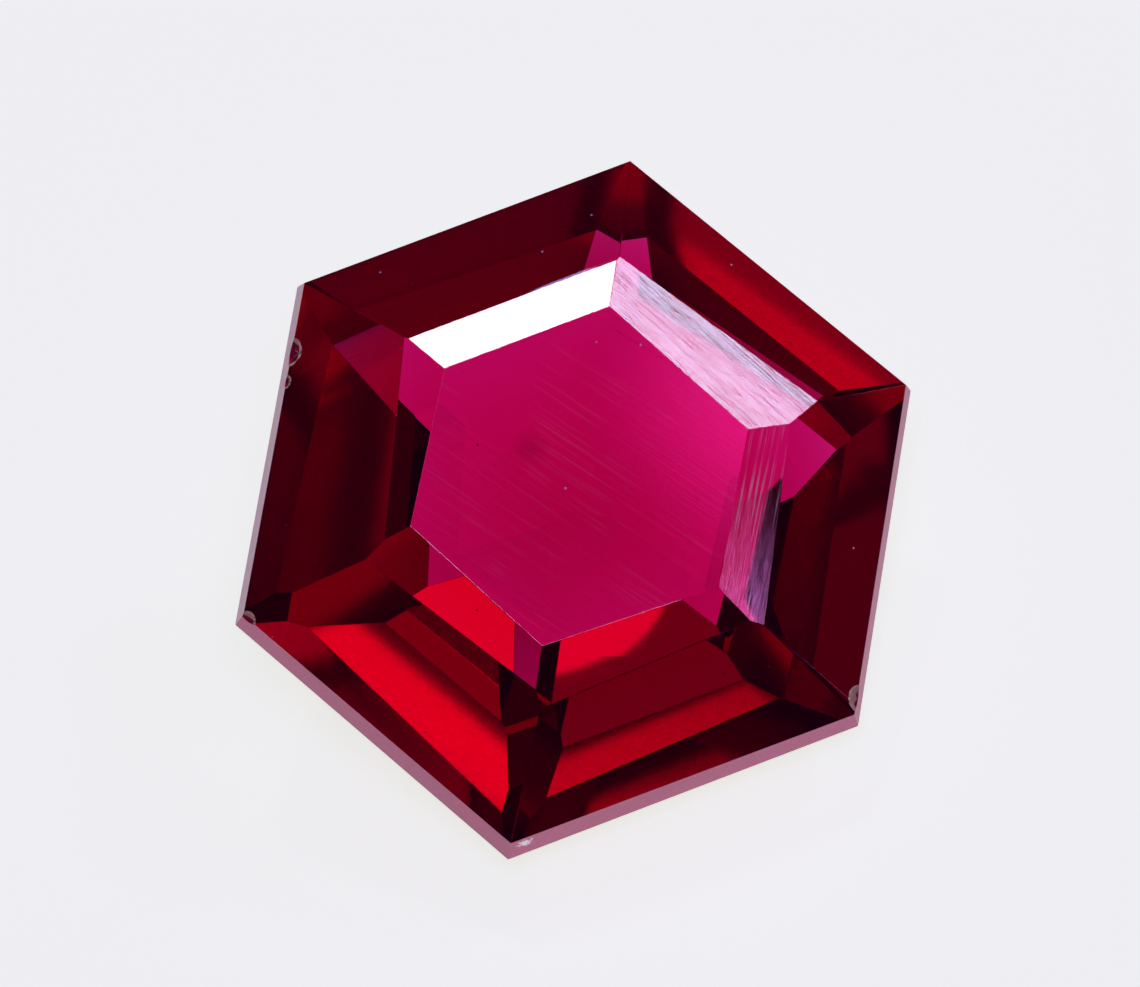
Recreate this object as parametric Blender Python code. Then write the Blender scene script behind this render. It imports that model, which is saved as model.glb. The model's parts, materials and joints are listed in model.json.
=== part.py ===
"""A loose cut ruby: a hexagonal step cut, faceted plane by plane as a gem cutter does it.

The stone starts as a hexagonal block of rough, and every facet is one flat cut through it. The cuts
follow a cutter's diagram: for each step of six facets, the slope from the girdle plane and how far
from the axis the step begins. Small errors of turn, reach and slope from side to side are those of
hand-held cutting. While it is cut the stone stands table up, one corner at +Y, with the crown's
outer edge at height zero. Then it is laid down as a loose stone lies, leaning on one facet of the
lowest step of its pavilion, with its table facing up and towards -Y.

Constants are in millimetres and degrees, the scene in metres, +Z up.
"""

import bmesh
import bpy
from math import cos, pi, radians, sin, tan
from mathutils import Matrix, Vector

MM = 0.001

# The six sides, clockwise from the one to the right of the +Y corner.
SIDES = ("north_east", "east", "south_east", "south_west", "west", "north_west")
FIRST_SIDE_FACES = 60.0
SIDE_STEP = 60.0

# Crown: two steps of facets up to the table.
CROWN_REACH = 6.05  # from the axis to each side, at the crown's outer edge
CROWN_HEIGHT = 1.85  # from the crown's outer edge up to the table
OUTER_STEP_SLOPE = 35.0
INNER_STEP_SLOPE = 22.0
TABLE_REACH = 3.0

# Girdle: a ground band that flares out towards its lower edge.
GIRDLE_HEIGHT = 0.7
GIRDLE_FLARE = 11.5

# Pavilion: three steps of facets, each less steep than the one above it, down to a point.
UPPER_STEP_SLOPE = 41.0
MIDDLE_STEP_SLOPE = 31.5
MIDDLE_STEP_REACH = 4.6
LOWER_STEP_SLOPE = 23.0
LOWER_STEP_REACH = 2.75

# Errors of the cutting on each side, in the order of SIDES. The turn errors of the pavilion's steps
# come on top of their side's.
SIDE_TURN_ERROR = (0.5, 1.0, 1.5, -0.5, 0.5, 2.0)
SIDE_REACH_ERROR = (0.0, 0.05, -0.05, 0.05, 0.0, 0.0)
OUTER_STEP_SLOPE_ERROR = (0.5, 0.0, 0.5, -1.0, -1.5, -0.5)
INNER_STEP_TURN_ERROR = (-2.0, -0.5, -0.5, -2.5, -1.5, 2.0)
INNER_STEP_REACH_ERROR = (-0.05, 0.05, -0.05, 0.0, 0.05, 0.0)
INNER_STEP_SLOPE_ERROR = (1.0, -1.0, -2.0, -0.5, 2.5, 0.5)
UPPER_STEP_TURN_ERROR = (0.5, -0.25, 1.25, -0.75, -0.25, -1.25)
UPPER_STEP_SLOPE_ERROR = (-0.25, -0.5, -0.25, 0.0, 1.0, -0.75)
MIDDLE_STEP_TURN_ERROR = (0.5, -0.75, 0.25, 0.75, 1.75, -0.25)
MIDDLE_STEP_REACH_ERROR = (0.1, 0.08, 0.1, -0.06, 0.02, 0.06)
MIDDLE_STEP_SLOPE_ERROR = (0.25, 1.0, 0.75, 1.25, -1.5, -1.5)
LOWER_STEP_TURN_ERROR = (-2.25, 0.75, 0.25, 1.25, 0.25, 0.25)
LOWER_STEP_REACH_ERROR = (-0.16, 0.16, -0.02, -0.06, 0.04, 0.04)
LOWER_STEP_SLOPE_ERROR = (1.0, 0.25, -1.25, 0.25, 0.5, 0.25)

# Shell-shaped chips in the crown's outer edge: side, place along it from its first corner to its
# second (going clockwise), how long the chip is, and how deep it bites.
CHIPS = (
    ("west", 0.79, 0.62, 0.11),
    ("west", 0.70, 0.30, 0.06),
    ("east", 0.95, 0.55, 0.10),
    ("south_west", 0.985, 0.40, 0.09),
)
CHIP_CUTTER_SUBDIVISIONS = 3

# The pavilion facet that the loose stone leans on.
RESTING_SIDE = "south_east"

# Block of rough that the stone is cut from, larger than the stone on every side.
ROUGH_RADIUS = 9.0
ROUGH_DEPTH = 16.0

# A cut that passes this close to a corner, in metres, goes through that corner.
CORNER_SNAP = 2e-6

UP = Vector((0.0, 0.0, 1.0))
FRONT = Vector((0.0, -1.0))


def clear_scene():
    """Remove what a new scene starts with."""
    for thing in list(bpy.data.objects):
        bpy.data.objects.remove(thing, do_unlink=True)


def ruby_material():
    """Transparent deep red corundum with a polished surface."""
    material = bpy.data.materials.new("polished_ruby")
    material.use_nodes = True
    shader = material.node_tree.nodes["Principled BSDF"]
    shader.inputs["Base Color"].default_value = (0.45, 0.0, 0.06, 1.0)
    shader.inputs["Roughness"].default_value = 0.02
    shader.inputs["Metallic"].default_value = 0.0
    shader.inputs["IOR"].default_value = 1.765
    shader.inputs["Transmission Weight"].default_value = 1.0
    material.diffuse_color = (0.45, 0.0, 0.06, 1.0)
    return material


def side_direction(side, turn_error):
    """Level direction that a side faces, out from the axis."""
    angle = radians(FIRST_SIDE_FACES - SIDE_STEP * side + turn_error)
    return Vector((cos(angle), sin(angle), 0.0))


def crown_reach(side):
    """How far out a side stands at the crown's outer edge, with its cutting error."""
    return CROWN_REACH + SIDE_REACH_ERROR[side]


def cut_facet(stone, facing, slope, reach, height, upward):
    """Grind one flat facet: remove all that lies outside its plane and close the cut.

    The facet crosses the given height at the given reach from the axis, and its slope is measured
    from the girdle plane. upward is UP for the crown and girdle and -UP for the pavilion. Returns
    the facet's outward normal.
    """
    normal = facing * sin(radians(slope)) + upward * cos(radians(slope))
    cut = bmesh.ops.bisect_plane(
        stone,
        geom=stone.verts[:] + stone.edges[:] + stone.faces[:],
        dist=CORNER_SNAP,
        plane_co=(facing * reach + UP * height) * MM,
        plane_no=normal,
        clear_outer=True,
    )
    rim = [part for part in cut["geom_cut"] if isinstance(part, bmesh.types.BMEdge)]
    bmesh.ops.contextual_create(stone, geom=rim)
    return normal


def cut_crown_and_girdle(stone):
    """Cut the girdle, the outer step, the table and the inner step."""
    for side in range(len(SIDES)):
        facing = side_direction(side, SIDE_TURN_ERROR[side])
        slope = OUTER_STEP_SLOPE + OUTER_STEP_SLOPE_ERROR[side]
        cut_facet(stone, facing, 90.0 - GIRDLE_FLARE, crown_reach(side), 0.0, UP)
        cut_facet(stone, facing, slope, crown_reach(side), 0.0, UP)
    cut_facet(stone, side_direction(0, 0.0), 0.0, 0.0, CROWN_HEIGHT, UP)
    for side in range(len(SIDES)):
        facing = side_direction(side, INNER_STEP_TURN_ERROR[side])
        slope = INNER_STEP_SLOPE + INNER_STEP_SLOPE_ERROR[side]
        reach = TABLE_REACH + INNER_STEP_REACH_ERROR[side]
        cut_facet(stone, facing, slope, reach, CROWN_HEIGHT, UP)


def cut_pavilion(stone):
    """Cut the pavilion's three steps, and return the lowest step's normals by side."""
    lowest = {}
    for side, name in enumerate(SIDES):
        turn = SIDE_TURN_ERROR[side]
        reach = crown_reach(side) + GIRDLE_HEIGHT * tan(radians(GIRDLE_FLARE))
        height = -GIRDLE_HEIGHT
        facing = side_direction(side, turn + UPPER_STEP_TURN_ERROR[side])
        slope = UPPER_STEP_SLOPE + UPPER_STEP_SLOPE_ERROR[side]
        cut_facet(stone, facing, slope, reach, height, -UP)
        height -= (reach - MIDDLE_STEP_REACH) * tan(radians(UPPER_STEP_SLOPE))
        facing = side_direction(side, turn + MIDDLE_STEP_TURN_ERROR[side])
        slope = MIDDLE_STEP_SLOPE + MIDDLE_STEP_SLOPE_ERROR[side]
        reach = MIDDLE_STEP_REACH + MIDDLE_STEP_REACH_ERROR[side]
        cut_facet(stone, facing, slope, reach, height, -UP)
        height -= (MIDDLE_STEP_REACH - LOWER_STEP_REACH) * tan(radians(MIDDLE_STEP_SLOPE))
        facing = side_direction(side, turn + LOWER_STEP_TURN_ERROR[side])
        slope = LOWER_STEP_SLOPE + LOWER_STEP_SLOPE_ERROR[side]
        reach = LOWER_STEP_REACH + LOWER_STEP_REACH_ERROR[side]
        lowest[name] = cut_facet(stone, facing, slope, reach, height, -UP)
    return lowest


def crown_corner(side):
    """Corner of the crown's outer edge between a side and the side before it, clockwise."""
    before = (side - 1) % len(SIDES)
    this_way = side_direction(side, SIDE_TURN_ERROR[side])
    that_way = side_direction(before, SIDE_TURN_ERROR[before])
    spread = this_way.x * that_way.y - this_way.y * that_way.x
    x = (crown_reach(side) * that_way.y - crown_reach(before) * this_way.y) / spread
    y = (this_way.x * crown_reach(before) - that_way.x * crown_reach(side)) / spread
    return Vector((x, y, 0.0)) * MM


def lying_pose(stone, down):
    """Placement that lays the stone on the facet facing down, its table leaning towards -Y."""
    level = down.rotation_difference(-UP).to_matrix().to_4x4()
    lean = (level @ UP).to_2d().angle_signed(FRONT)
    turned = Matrix.Rotation(-lean, 4, "Z") @ level
    corners = [turned @ vertex.co for vertex in stone.verts]
    low = [min(corner[axis] for corner in corners) for axis in range(3)]
    high = [max(corner[axis] for corner in corners) for axis in range(3)]
    base = Vector(((low[0] + high[0]) / 2, (low[1] + high[1]) / 2, low[2]))
    return Matrix.Translation(-base) @ turned


def cut_stone():
    """Facet the block of rough. Returns the stone's mesh and its placement."""
    stone = bmesh.new()
    bmesh.ops.create_cone(
        stone,
        cap_ends=True,
        segments=len(SIDES),
        radius1=ROUGH_RADIUS * MM,
        radius2=ROUGH_RADIUS * MM,
        depth=ROUGH_DEPTH * MM,
        matrix=Matrix.Rotation(pi / len(SIDES), 4, "Z"),
    )
    cut_crown_and_girdle(stone)
    lowest = cut_pavilion(stone)
    pose = lying_pose(stone, lowest[RESTING_SIDE])
    bmesh.ops.recalc_face_normals(stone, faces=stone.faces)
    mesh = bpy.data.meshes.new("ruby")
    stone.to_mesh(mesh)
    stone.free()
    return mesh, pose


def add_chip(ruby, pose, cutters, chip):
    """Knock one chip out of the crown's outer edge with a ball that dips into it."""
    name, place, length, bite = chip
    side = SIDES.index(name)
    facing = side_direction(side, SIDE_TURN_ERROR[side])
    along = crown_corner(side).lerp(crown_corner((side + 1) % len(SIDES)), place)
    radius = (length * length / 4 + bite * bite) / (2 * bite) * MM
    outward = (facing + UP).normalized()
    bpy.ops.mesh.primitive_ico_sphere_add(subdivisions=CHIP_CUTTER_SUBDIVISIONS, radius=radius)
    ball = bpy.context.object
    ball.name = f"chip_cutter_{name}_{round(place * 100)}"
    ball.matrix_world = pose @ Matrix.Translation(along + outward * (radius - bite * MM))
    ball.hide_render = True
    ball.display_type = "WIRE"
    for collection in list(ball.users_collection):
        collection.objects.unlink(ball)
    cutters.objects.link(ball)
    chipping = ruby.modifiers.new(ball.name, "BOOLEAN")
    chipping.operation = "DIFFERENCE"
    chipping.solver = "EXACT"
    chipping.object = ball


def build():
    clear_scene()
    parts = bpy.data.collections.new("hexagonal_step_cut_ruby")
    cutters = bpy.data.collections.new("chip_cutters")
    bpy.context.scene.collection.children.link(parts)
    bpy.context.scene.collection.children.link(cutters)
    mesh, pose = cut_stone()
    ruby = bpy.data.objects.new("ruby", mesh)
    ruby.matrix_world = pose
    ruby.data.materials.append(ruby_material())
    parts.objects.link(ruby)
    for chip in CHIPS:
        add_chip(ruby, pose, cutters, chip)


build()
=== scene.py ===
"""A loose hexagonal step-cut ruby, lying on a pale light table in a small photo studio."""

import json
from math import cos, pi, radians, sin, tan

import bmesh
import bpy
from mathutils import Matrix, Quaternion, Vector


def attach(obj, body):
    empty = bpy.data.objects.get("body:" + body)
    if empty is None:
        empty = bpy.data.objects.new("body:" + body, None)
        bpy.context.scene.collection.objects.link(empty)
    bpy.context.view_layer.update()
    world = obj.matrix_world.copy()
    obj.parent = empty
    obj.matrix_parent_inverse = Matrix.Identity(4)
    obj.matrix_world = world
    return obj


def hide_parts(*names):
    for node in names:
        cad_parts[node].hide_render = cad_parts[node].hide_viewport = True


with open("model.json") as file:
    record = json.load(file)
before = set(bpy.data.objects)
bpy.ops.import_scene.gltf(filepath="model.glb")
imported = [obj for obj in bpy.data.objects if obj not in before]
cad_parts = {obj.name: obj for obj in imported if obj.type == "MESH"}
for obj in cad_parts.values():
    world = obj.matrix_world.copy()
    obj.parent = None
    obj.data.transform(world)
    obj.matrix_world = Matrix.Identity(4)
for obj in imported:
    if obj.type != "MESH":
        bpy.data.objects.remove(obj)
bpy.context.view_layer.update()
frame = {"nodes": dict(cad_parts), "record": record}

scene = bpy.context.scene

# ---------------------------------------------------------------------------------------------
# Camera. A macro lens 170 mm from the stone, looking down on its table from in front and a little
# from the left, and turned slightly on its own axis.

MM = 0.001
CAMERA_AZIMUTH = -13.38
CAMERA_ELEVATION = 55.89
CAMERA_ROLL = 9.38
CAMERA_DISTANCE = 170 * MM
CAMERA_AIM = Vector((-0.083, -0.094, 4.033)) * MM
LENS = 271.6


def towards(azimuth, elevation):
    """Unit vector that points to an azimuth (0 is in front, at -Y) and an elevation, in degrees."""
    level = cos(radians(elevation))
    return Vector((
        sin(radians(azimuth)) * level,
        -cos(radians(azimuth)) * level,
        sin(radians(elevation)),
    ))


camera_data = bpy.data.cameras.new("camera")
camera_data.lens = LENS
camera_data.clip_start = 0.01
camera_data.clip_end = 10.0
camera = bpy.data.objects.new("camera", camera_data)
scene.collection.objects.link(camera)
back = towards(CAMERA_AZIMUTH, CAMERA_ELEVATION)
camera.location = CAMERA_AIM + back * CAMERA_DISTANCE
camera.rotation_mode = "QUATERNION"
upright = (-back).to_track_quat("-Z", "Y")
camera.rotation_quaternion = upright @ Quaternion((0, 0, 1), radians(-CAMERA_ROLL))
scene.camera = camera

# ---------------------------------------------------------------------------------------------
# Ruby. One crystal of red corundum, sawn and cut on a lap to six-sided steps, polished on every
# facet and left ground on its girdle. The lap has left fine lines on two inner crown steps, and
# tweezers have scratched the table and chipped the girdle.

TABLE_AXIS = Vector(next(
    mount["axis"] for mount in frame["record"]["mounts"] if mount["name"] == "table"
)).normalized()
MERGE_DISTANCE = 0.0005 * MM
FLAT_WITHIN = radians(0.4)
EDGE_ROUNDING = 0.007 * MM
SHORT_EDGE = 0.1 * MM
# A facet larger than one square millimetre is one that the lap has cut.
CUT_FACET = 1.0 * MM * MM
SAME_PLANE = 0.01
# Angles from the table: the girdle stands between the first two, and under it the two upper
# tiers of the pavilion reach down to the third.
GIRDLE_FROM = radians(70)
GIRDLE_TO = radians(90)
WORN_TO = radians(153)
# The girdle is painted deep pink where the cosine of its turn from the front is over this, and paler
# pink elsewhere: a painted sheen on its sides.
FRONT = towards(0.0, 0.0)
FRONT_GIRDLE_OVER = 0.42
SCRATCH_RUN = towards(36.4, -17.8)
# The way that each marked facet faces, and how plainly its lap lines show.
LAP_LINE_DEPTHS = {
    "north_east_step": (towards(62.7, 66.8), 2.2),
    "east_step": (towards(30.1, 52.8), 1.2),
    "table": (TABLE_AXIS, 0.12),
}


def hex_colour(text):
    """Linear RGBA of an sRGB hex colour."""
    channels = [int(text[place:place + 2], 16) / 255 for place in (0, 2, 4)]
    linear = [c / 12.92 if c <= 0.04045 else ((c + 0.055) / 1.055) ** 2.4 for c in channels]
    return (*linear, 1.0)


def add_node(tree, kind, settings=(), inputs=()):
    """Add a node, with its settings by name and its inputs by name or number: a value or a link."""
    node = tree.nodes.new(kind)
    for name, value in dict(settings).items():
        setattr(node, name, value)
    for name, value in dict(inputs).items():
        if isinstance(value, bpy.types.NodeSocket):
            tree.links.new(value, node.inputs[name])
        else:
            node.inputs[name].default_value = value
    return node


stone = bmesh.new()
stone.from_mesh(frame["nodes"]["ruby"].data)
bmesh.ops.remove_doubles(stone, verts=stone.verts, dist=MERGE_DISTANCE)
bmesh.ops.dissolve_limit(stone, angle_limit=FLAT_WITHIN, verts=stone.verts, edges=stone.edges)
# What lies on none of the planes that the lap has cut is the inside of a chip.
broken = stone.faces.layers.float.new("broken")
cut_normals = [facet.normal.copy() for facet in stone.faces if facet.calc_area() > CUT_FACET]
for facet in stone.faces:
    facet[broken] = float(all(facet.normal.angle(cut) > SAME_PLANE for cut in cut_normals))
facet_edges = [
    edge for edge in stone.edges
    if all(near.calc_length() > SHORT_EDGE for corner in edge.verts for near in corner.link_edges)
]
bmesh.ops.bevel(
    stone, geom=facet_edges, offset=EDGE_ROUNDING, offset_type="OFFSET",
    segments=2, profile=0.5, affect="EDGES", clamp_overlap=False,
)

# How each facet is finished, and its own flat measure in millimetres: along its step, and up.
ground = stone.faces.layers.float.new("ground")
lapped = stone.faces.layers.float.new("lapped")
worn = stone.faces.layers.float.new("worn")
painted_sheen_split = stone.faces.layers.float.new("painted_sheen_split")
facet_uv = stone.loops.layers.uv.new("facet_mm")
for facet in stone.faces:
    facet.smooth = False
    steepness = facet.normal.angle(TABLE_AXIS)
    facet[ground] = float(
        GIRDLE_FROM < steepness < GIRDLE_TO
        and any(facet.normal.angle(cut) < SAME_PLANE for cut in cut_normals)
    )
    # Painted sheen: girdle faces turned away from the front get a paler pink, for the light they
    # catch at a slant.
    facet[painted_sheen_split] = facet[ground] * float(facet.normal.dot(FRONT) > FRONT_GIRDLE_OVER)
    facet[lapped] = max(
        (depth for step, depth in LAP_LINE_DEPTHS.values() if facet.normal.angle(step) < SAME_PLANE),
        default=0.0,
    )
    facet[worn] = float(GIRDLE_TO < steepness < WORN_TO)
    along = SCRATCH_RUN if steepness < SAME_PLANE else TABLE_AXIS.cross(facet.normal).normalized()
    upward = facet.normal.cross(along)
    for loop in facet.loops:
        loop[facet_uv].uv = (loop.vert.co.dot(along) / MM, loop.vert.co.dot(upward) / MM)
ruby_mesh = bpy.data.meshes.new("ruby_stone")
stone.to_mesh(ruby_mesh)
stone.free()

# The facets are flat, so the bent normals of the solid's mesh are dropped.
if "custom_normal" in ruby_mesh.attributes:
    ruby_mesh.attributes.remove(ruby_mesh.attributes["custom_normal"])
ruby = bpy.data.objects.new("ruby_stone", ruby_mesh)
scene.collection.objects.link(ruby)

# Polished corundum: glass-bright and clear, and so red that long paths inside go nearly black.
# The upper pavilion facets are polished a little less finely, which softens what they mirror.
CORUNDUM_IOR = 1.765
CLEAR_ROUGHNESS = 0.01
PAVILION_ROUGHNESS = 0.1
GROUND_ROUGHNESS = 0.4
polished_corundum = bpy.data.materials.new("polished_ruby_corundum")
polished_corundum.use_nodes = True
tree = polished_corundum.node_tree
shader = tree.nodes["Principled BSDF"]
shader.inputs["IOR"].default_value = CORUNDUM_IOR
ground_part = add_node(tree, "ShaderNodeAttribute", {"attribute_name": "ground"}).outputs["Fac"]
lapped_part = add_node(tree, "ShaderNodeAttribute", {"attribute_name": "lapped"}).outputs["Fac"]
worn_part = add_node(tree, "ShaderNodeAttribute", {"attribute_name": "worn"}).outputs["Fac"]
painted_sheen_split_part = add_node(tree, "ShaderNodeAttribute", {"attribute_name": "painted_sheen_split"}).outputs["Fac"]
broken_part = add_node(tree, "ShaderNodeAttribute", {"attribute_name": "broken"}).outputs["Fac"]
place = add_node(tree, "ShaderNodeTexCoord").outputs["Object"]
facet_place = add_node(tree, "ShaderNodeUVMap", {"uv_map": "facet_mm"}).outputs["UV"]

# Lap lines: fine grooves along each step, which glint pale where they lie close together. Real
# ones are a few microns apart, too fine to show, so these are drawn coarser. Their sizes are in
# millimetres, as the facet's own measure is.
LINE_LENGTH = 3.2
LINE_PITCH = 0.06
LINE_PALENESS = 0.35
PATCH_SIZE = 1.25
line_place = add_node(tree, "ShaderNodeMapping", inputs={
    "Vector": facet_place,
    "Scale": (1 / LINE_LENGTH, 1 / LINE_PITCH, 1.0),
})
lines = add_node(tree, "ShaderNodeTexNoise", {"noise_dimensions": "2D"}, {
    "Vector": line_place.outputs["Vector"],
    "Scale": 1.0,
    "Detail": 3.0,
    "Roughness": 0.6,
})
patches = add_node(tree, "ShaderNodeTexNoise", {"noise_dimensions": "2D"}, {
    "Vector": facet_place,
    "Scale": 1 / PATCH_SIZE,
    "Detail": 1.0,
})
thick_patch = add_node(tree, "ShaderNodeMapRange", inputs={
    "Value": patches.outputs["Fac"],
    "From Min": 0.4,
    "From Max": 0.62,
    "To Min": 0.12,
})
glint = add_node(tree, "ShaderNodeMapRange", inputs={
    "Value": lines.outputs["Fac"],
    "From Min": 0.55,
    "From Max": 0.68,
})
patch_glint = add_node(tree, "ShaderNodeMath", {"operation": "MULTIPLY"}, {
    0: glint.outputs["Result"],
    1: thick_patch.outputs["Result"],
})
pale_lines = add_node(tree, "ShaderNodeMath", {"operation": "MULTIPLY"}, {
    0: patch_glint.outputs["Value"],
    1: lapped_part,
})

# Ground girdle: a frosted grain that scatters what comes through it, also drawn coarser.
GRAIN_SIZE = 0.07 * MM
grain = add_node(tree, "ShaderNodeTexNoise", inputs={
    "Vector": place,
    "Scale": 1 / GRAIN_SIZE,
    "Detail": 2.0,
})
frost = add_node(tree, "ShaderNodeMapRange", inputs={
    "Value": grain.outputs["Fac"],
    "From Min": 0.3,
    "From Max": 0.7,
    "To Min": 0.5,
    "To Max": 0.95,
})
ground_frost = add_node(tree, "ShaderNodeMath", {"operation": "MULTIPLY"}, {
    0: frost.outputs["Result"],
    1: ground_part,
})
clouded = add_node(tree, "ShaderNodeMath", {"operation": "MULTIPLY_ADD"}, {
    0: pale_lines.outputs["Value"],
    1: LINE_PALENESS,
    2: ground_frost.outputs["Value"],
})

# A painted highlight by the front corner, a white spot in place of a glint, and a few specks of dust:
# white, and hardly see-through. The girdle's grain makes the rim of the painted highlight ragged. The
# inside of a chip is half clouded.
PAINTED_GLINT_SPOT = Vector((-3.46, -5.75, 1.5)) * MM
PAINTED_GLINT_REACH = 0.22 * MM
DUST_SPACING = 0.9 * MM
DUST_SIZE = 0.028 * MM
CHIP_CLOUD = 0.5
painted_glint_distance = add_node(tree, "ShaderNodeVectorMath", {"operation": "DISTANCE"}, {
    0: place,
    1: PAINTED_GLINT_SPOT,
})
painted_glint_rim = add_node(tree, "ShaderNodeMath", {"operation": "MULTIPLY_ADD"}, {
    0: grain.outputs["Fac"],
    1: 1.6 * PAINTED_GLINT_REACH,
    2: painted_glint_distance.outputs["Value"],
})
# Painted highlight: a white spot by the front corner, in place of a glint.
painted_glint = add_node(tree, "ShaderNodeMapRange", {"interpolation_type": "SMOOTHSTEP"}, {
    "Value": painted_glint_rim.outputs["Value"],
    "From Min": 1.1 * PAINTED_GLINT_REACH,
    "From Max": 1.6 * PAINTED_GLINT_REACH,
    "To Min": 1.0,
    "To Max": 0.0,
})
speck_distance = add_node(tree, "ShaderNodeTexVoronoi", inputs={
    "Vector": place,
    "Scale": 1 / DUST_SPACING,
})
specks = add_node(tree, "ShaderNodeMapRange", inputs={
    "Value": speck_distance.outputs["Distance"],
    "From Min": 0.7 * DUST_SIZE / DUST_SPACING,
    "From Max": DUST_SIZE / DUST_SPACING,
    "To Min": 0.8,
    "To Max": 0.0,
})
marks = add_node(tree, "ShaderNodeMath", {"operation": "MAXIMUM"}, {
    0: painted_glint.outputs["Result"],
    1: specks.outputs["Result"],
})
marked = add_node(tree, "ShaderNodeMath", {"operation": "ADD"}, {
    0: clouded.outputs["Value"],
    1: marks.outputs["Value"],
})
covered = add_node(tree, "ShaderNodeMath", {"operation": "MULTIPLY_ADD"}, {
    0: broken_part,
    1: CHIP_CLOUD,
    2: marked.outputs["Value"],
})
clear = add_node(tree, "ShaderNodeMath", {"operation": "SUBTRACT", "use_clamp": True}, {
    0: 1.0,
    1: covered.outputs["Value"],
})
tree.links.new(clear.outputs["Value"], shader.inputs["Transmission Weight"])

# Smoothness and relief: mirror-flat facets, fine grooves, and the grain of the girdle.
RELIEF_DEPTH = 0.001 * MM
polish = add_node(tree, "ShaderNodeMapRange", inputs={
    "Value": worn_part,
    "To Min": CLEAR_ROUGHNESS,
    "To Max": PAVILION_ROUGHNESS,
})
roughness = add_node(tree, "ShaderNodeMath", {"operation": "MULTIPLY_ADD"}, {
    0: ground_part,
    1: GROUND_ROUGHNESS,
    2: polish.outputs["Result"],
})
tree.links.new(roughness.outputs["Value"], shader.inputs["Roughness"])
line_relief = add_node(tree, "ShaderNodeMath", {"operation": "MULTIPLY"}, {
    0: lines.outputs["Fac"],
    1: lapped_part,
})
relief_height = add_node(tree, "ShaderNodeMath", {"operation": "ADD"}, {
    0: line_relief.outputs["Value"],
    1: ground_frost.outputs["Value"],
})
relief = add_node(tree, "ShaderNodeBump", inputs={
    "Height": relief_height.outputs["Value"],
    "Strength": 1.0,
    "Distance": RELIEF_DEPTH,
})
tree.links.new(relief.outputs["Normal"], shader.inputs["Normal"])

# Colour of the surface: clear, with a small darker, smoky patch just under the middle of the
# table. The ground girdle is deep pink at the front and paler pink on its sides, a painted sheen for
# the light that the sides catch; the chips are raw red.
DARK_PATCH_CENTRE = Vector((-0.71, -0.07, 6.03)) * MM
VEIL_CORE = 0.02 * MM
VEIL_REACH = 0.5 * MM
# The two colours that go into a Mix node and the one that comes out share their names with the
# node's other sockets, so they are called by number.
MIX_A = 6
MIX_B = 7
MIX_RESULT = 2
# The body colour turns a darker, smoky red near a point just under the middle of the table.
veil_distance = add_node(tree, "ShaderNodeVectorMath", {"operation": "DISTANCE"}, {
    0: place,
    1: DARK_PATCH_CENTRE,
})
veil = add_node(tree, "ShaderNodeMapRange", {"interpolation_type": "SMOOTHSTEP"}, {
    "Value": veil_distance.outputs["Value"],
    "From Min": VEIL_CORE,
    "From Max": VEIL_REACH,
    "To Min": 0.45,
    "To Max": 0.0,
})
body = add_node(tree, "ShaderNodeMix", {"data_type": "RGBA"}, {
    "Factor": veil.outputs["Result"],
    MIX_A: hex_colour("fffaff"),
    MIX_B: hex_colour("70303c"),
})
# Girdle colour with a painted sheen: deep pink at the front, paler pink on the sides.
girdle_colour_with_painted_sheen = add_node(tree, "ShaderNodeMix", {"data_type": "RGBA"}, {
    "Factor": painted_sheen_split_part,
    MIX_A: hex_colour("f8b4d0"),
    MIX_B: hex_colour("d81c80"),
})
# Where the painted highlight is, the girdle's pink gives way to the near-white body colour.
ground_not_painted_glint = add_node(tree, "ShaderNodeMath", {"operation": "SUBTRACT", "use_clamp": True}, {
    0: ground_part,
    1: painted_glint.outputs["Result"],
})
whole = add_node(tree, "ShaderNodeMix", {"data_type": "RGBA"}, {
    "Factor": broken_part,
    MIX_A: body.outputs[MIX_RESULT],
    MIX_B: hex_colour("c0284c"),
})
surface = add_node(tree, "ShaderNodeMix", {"data_type": "RGBA"}, {
    "Factor": ground_not_painted_glint.outputs["Value"],
    MIX_A: whole.outputs[MIX_RESULT],
    MIX_B: girdle_colour_with_painted_sheen.outputs[MIX_RESULT],
})
tree.links.new(surface.outputs[MIX_RESULT], shader.inputs["Base Color"])

# Body colour: green light is gone within a millimetre, blue within a few, and red goes far.
depth = add_node(tree, "ShaderNodeVolumeAbsorption", inputs={
    "Color": hex_colour("f700d6"),
    "Density": 1300.0,
})
tree.links.new(depth.outputs["Volume"], tree.nodes["Material Output"].inputs["Volume"])
ruby_mesh.materials.clear()
ruby_mesh.materials.append(polished_corundum)

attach(ruby, "root")
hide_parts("ruby")

# ---------------------------------------------------------------------------------------------
# Floor. A sheet of matt white acrylic, three metres wide and lit softly from below like a light
# table. The stone lies on it with a thin film of air between, so that its resting facet mirrors.

FLOOR_HALF = 1.5
FLOOR_GLOW = 0.78
AIR_FILM = 0.03 * MM

bpy.ops.mesh.primitive_plane_add(size=2 * FLOOR_HALF, location=(0, 0, -AIR_FILM))
floor = bpy.context.object
floor.name = "light_table"

# Opal acrylic: an even, matt, faintly cool white that glows through.
opal_acrylic = bpy.data.materials.new("opal_acrylic")
opal_acrylic.use_nodes = True
sheet = opal_acrylic.node_tree.nodes["Principled BSDF"]
sheet.inputs["Base Color"].default_value = hex_colour("cccac2")
sheet.inputs["Roughness"].default_value = 0.9
sheet.inputs["Emission Color"].default_value = hex_colour("fafef6")
sheet.inputs["Emission Strength"].default_value = FLOOR_GLOW
floor.data.materials.append(opal_acrylic)

# ---------------------------------------------------------------------------------------------
# Studio light. Round soft lamps and tinted cards stand two metres off in a dim violet room: some
# where the crown mirrors them to the camera, and the others where light leaves the pavilion.

LAMP_DISTANCE = 2.0
CARD_TINT = "b0b0ff"


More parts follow.
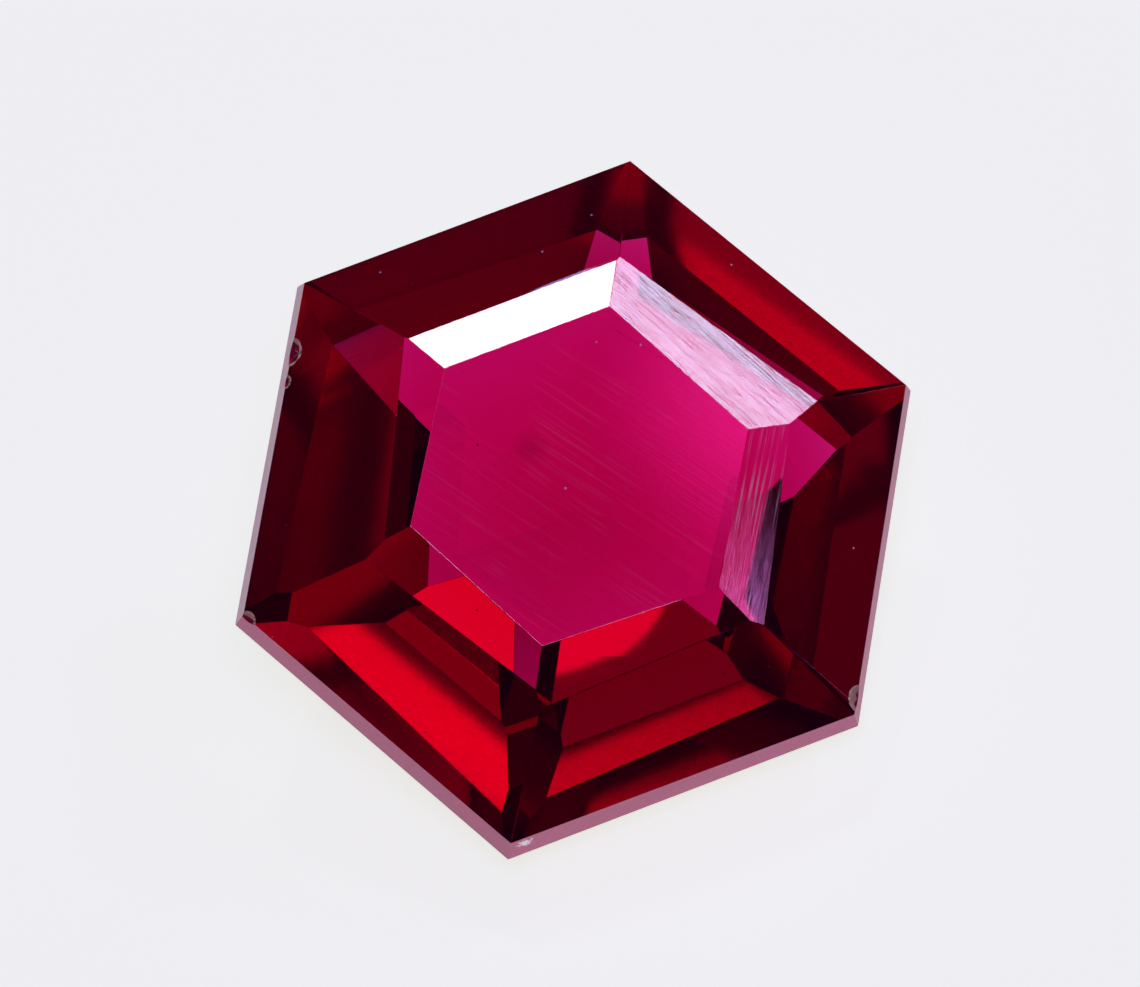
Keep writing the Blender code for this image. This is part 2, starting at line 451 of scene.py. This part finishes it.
def soft_lamp(name, azimuth, elevation, half_angle, radiance, tint=CARD_TINT):
    """A round lamp that faces the stone, and spans twice half_angle as the stone sees it."""
    radius = LAMP_DISTANCE * tan(radians(half_angle))
    area = pi * radius * radius
    lamp_data = bpy.data.lights.new(name, "AREA")
    lamp_data.shape = "DISK"
    lamp_data.size = 2 * radius
    lamp_data.color = hex_colour(tint)[:3]
    lamp_data.energy = radiance * pi * area
    lamp = bpy.data.objects.new(name, lamp_data)
    scene.collection.objects.link(lamp)
    lamp.location = towards(azimuth, elevation) * LAMP_DISTANCE
    lamp.rotation_mode = "QUATERNION"
    lamp.rotation_quaternion = towards(azimuth, elevation).to_track_quat("Z", "Y")
    return lamp_data


def hang_cloth(lamp_data, folds_across):
    """Hang a creased cloth before a lamp, so that it is brighter in some places than in others."""
    lamp_data.use_nodes = True
    cloth = lamp_data.node_tree
    folds = add_node(cloth, "ShaderNodeTexNoise", inputs={
        "Vector": add_node(cloth, "ShaderNodeNewGeometry").outputs["Parametric"],
        "Scale": folds_across,
        "Detail": 2.0,
    })
    let_through = add_node(cloth, "ShaderNodeMapRange", inputs={
        "Value": folds.outputs["Fac"],
        "From Min": 0.3,
        "From Max": 0.7,
        "To Min": 0.3,
        "To Max": 1.6,
    })
    cloth.links.new(let_through.outputs["Result"], cloth.nodes["Emission"].inputs["Strength"])


def fade_rim(lamp_data):
    """Fade a lamp evenly from its middle to nothing at its rim."""
    lamp_data.use_nodes = True
    disk = lamp_data.node_tree
    from_middle = add_node(disk, "ShaderNodeVectorMath", {"operation": "DISTANCE"}, {
        0: add_node(disk, "ShaderNodeNewGeometry").outputs["Parametric"],
        1: (0.5, 0.5, 0.0),
    })
    fading = add_node(disk, "ShaderNodeMapRange", {"interpolation_type": "SMOOTHSTEP"}, {
        "Value": from_middle.outputs["Value"],
        "From Max": 0.5,
        "To Min": 1.0,
        "To Max": 0.0,
    })
    disk.links.new(fading.outputs["Result"], disk.nodes["Emission"].inputs["Strength"])


# Mirrored by the crown: the inner steps at the back and on the right, and the right of the table.
soft_lamp("key_lamp", azimuth=167.6, elevation=54.0, half_angle=2.6, radiance=14.0, tint="ffffff")
soft_lamp("side_lamp", azimuth=110.3, elevation=41.3, half_angle=3.0, radiance=10.5, tint="d0d8ff")
fade_rim(soft_lamp(
    "rose_card", azimuth=42.6, elevation=76.5, half_angle=1.4, radiance=4.0, tint="ff2aa0",
))
fade_rim(soft_lamp(
    "lilac_card", azimuth=58.5, elevation=36.4, half_angle=1.4, radiance=7.5, tint="ff90ff",
))

# Seen through the stone, after one or more turns on its pavilion.
hang_cloth(soft_lamp(
    "top_lamp", azimuth=-8.0, elevation=65.0, half_angle=11.0, radiance=5.2, tint="c8b4ff",
), folds_across=13.75)
soft_lamp("left_top_card", azimuth=-26.0, elevation=65.0, half_angle=5.0, radiance=2.5, tint="c8b4ff")
soft_lamp("low_side_card", azimuth=122.0, elevation=12.0, half_angle=3.6, radiance=6.6)
soft_lamp("low_back_card", azimuth=171.0, elevation=30.65, half_angle=1.0, radiance=5.5)
soft_lamp("mid_back_card", azimuth=171.0, elevation=32.0, half_angle=2.2, radiance=1.2)
soft_lamp("low_right_card", azimuth=77.5, elevation=6.4, half_angle=4.0, radiance=3.6)
soft_lamp("back_card", azimuth=172.0, elevation=12.0, half_angle=3.0, radiance=1.3)
soft_lamp("upper_card", azimuth=63.0, elevation=69.0, half_angle=5.5, radiance=2.5)
soft_lamp("right_card", azimuth=93.0, elevation=47.0, half_angle=4.5, radiance=1.2)
soft_lamp("left_card", azimuth=270.0, elevation=20.0, half_angle=7.0, radiance=0.9)
soft_lamp("front_card", azimuth=37.0, elevation=3.0, half_angle=7.0, radiance=1.0)
soft_lamp("zenith_card", azimuth=0.0, elevation=89.0, half_angle=8.0, radiance=0.8)

# The room itself is dim and violet, which keeps the darkest facets from going quite black.
world = bpy.data.worlds.new("studio")
world.use_nodes = True
world.node_tree.nodes["Background"].inputs["Color"].default_value = hex_colour("c020ff")
world.node_tree.nodes["Background"].inputs["Strength"].default_value = 0.04
scene.world = world

scene.view_settings.view_transform = "Standard"

# Light is followed through the many turns that the facets of a cut stone give it.
scene.cycles.max_bounces = 24
scene.cycles.transmission_bounces = 16
scene.cycles.glossy_bounces = 16
